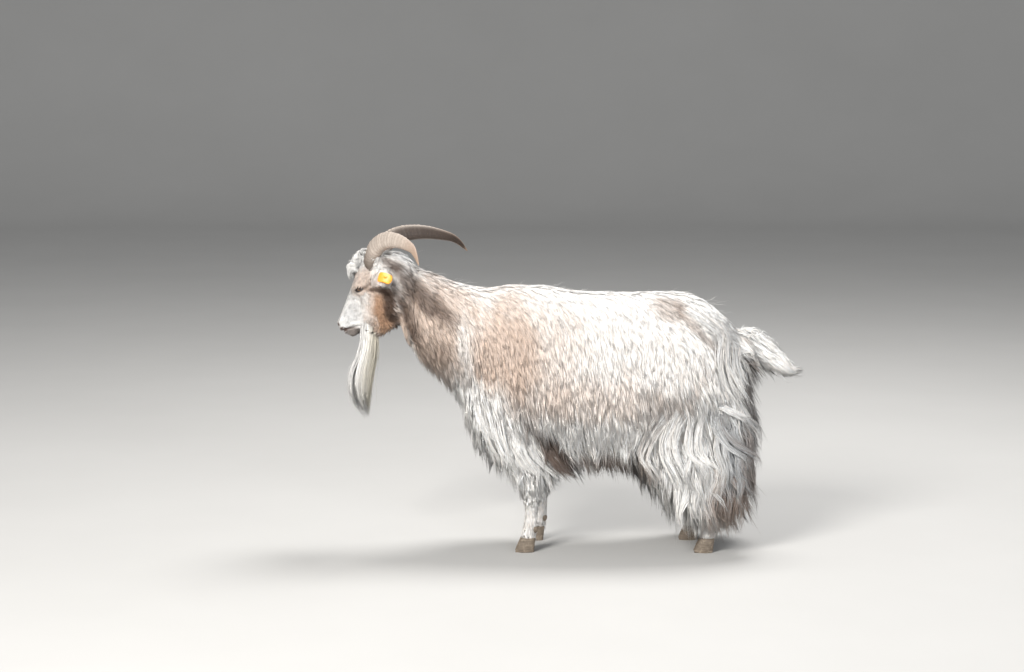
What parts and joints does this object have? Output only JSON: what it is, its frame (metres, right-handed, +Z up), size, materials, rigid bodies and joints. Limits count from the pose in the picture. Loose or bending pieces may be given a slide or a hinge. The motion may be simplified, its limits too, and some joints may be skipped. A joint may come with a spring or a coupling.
{
  "type": "long-haired billy goat",
  "caption": "Standing long-haired horned billy goat with a beard and a blank ear tag, a still life-size model.",
  "frame": {"origin": "on the floor, under the middle of the whole goat's bounding box", "axes": "+Z up, the head towards -X and the tail towards +X, the goat's left side towards -Y"},
  "size_m": [1.2176, 0.3648, 0.8506],
  "materials": {
    "coat": "long soft hair, matt",
    "horn": "ringed horn, dull",
    "hoof": "worn horn, dull",
    "eye": "wet, glossy",
    "tag": "flexible plastic, matt"
  },
  "bodies": {
    "root": {"trunk": "coat", "neck": "coat", "tail": "coat", "head": "coat", "forelock": "coat", "beard": "coat", "ear_left": "coat", "ear_right": "coat", "horn_left": "horn", "horn_right": "horn", "eye_left": "eye", "eye_right": "eye", "ear_tag_plate": "tag", "ear_tag_button": "tag", "fore_left_upper": "coat", "fore_left_shank": "coat", "fore_left_claw_outer": "hoof", "fore_left_dewclaw_outer": "hoof", "fore_left_claw_inner": "hoof", "fore_left_dewclaw_inner": "hoof", "fore_right_upper": "coat", "fore_right_shank": "coat", "fore_right_claw_outer": "hoof", "fore_right_dewclaw_outer": "hoof", "fore_right_claw_inner": "hoof", "fore_right_dewclaw_inner": "hoof", "hind_left_upper": "coat", "hind_left_shank": "coat", "hind_left_claw_outer": "hoof", "hind_left_dewclaw_outer": "hoof", "hind_left_claw_inner": "hoof", "hind_left_dewclaw_inner": "hoof", "hind_right_upper": "coat", "hind_right_shank": "coat", "hind_right_claw_outer": "hoof", "hind_right_dewclaw_outer": "hoof", "hind_right_claw_inner": "hoof", "hind_right_dewclaw_inner": "hoof"}
  },
  "joints": []
}
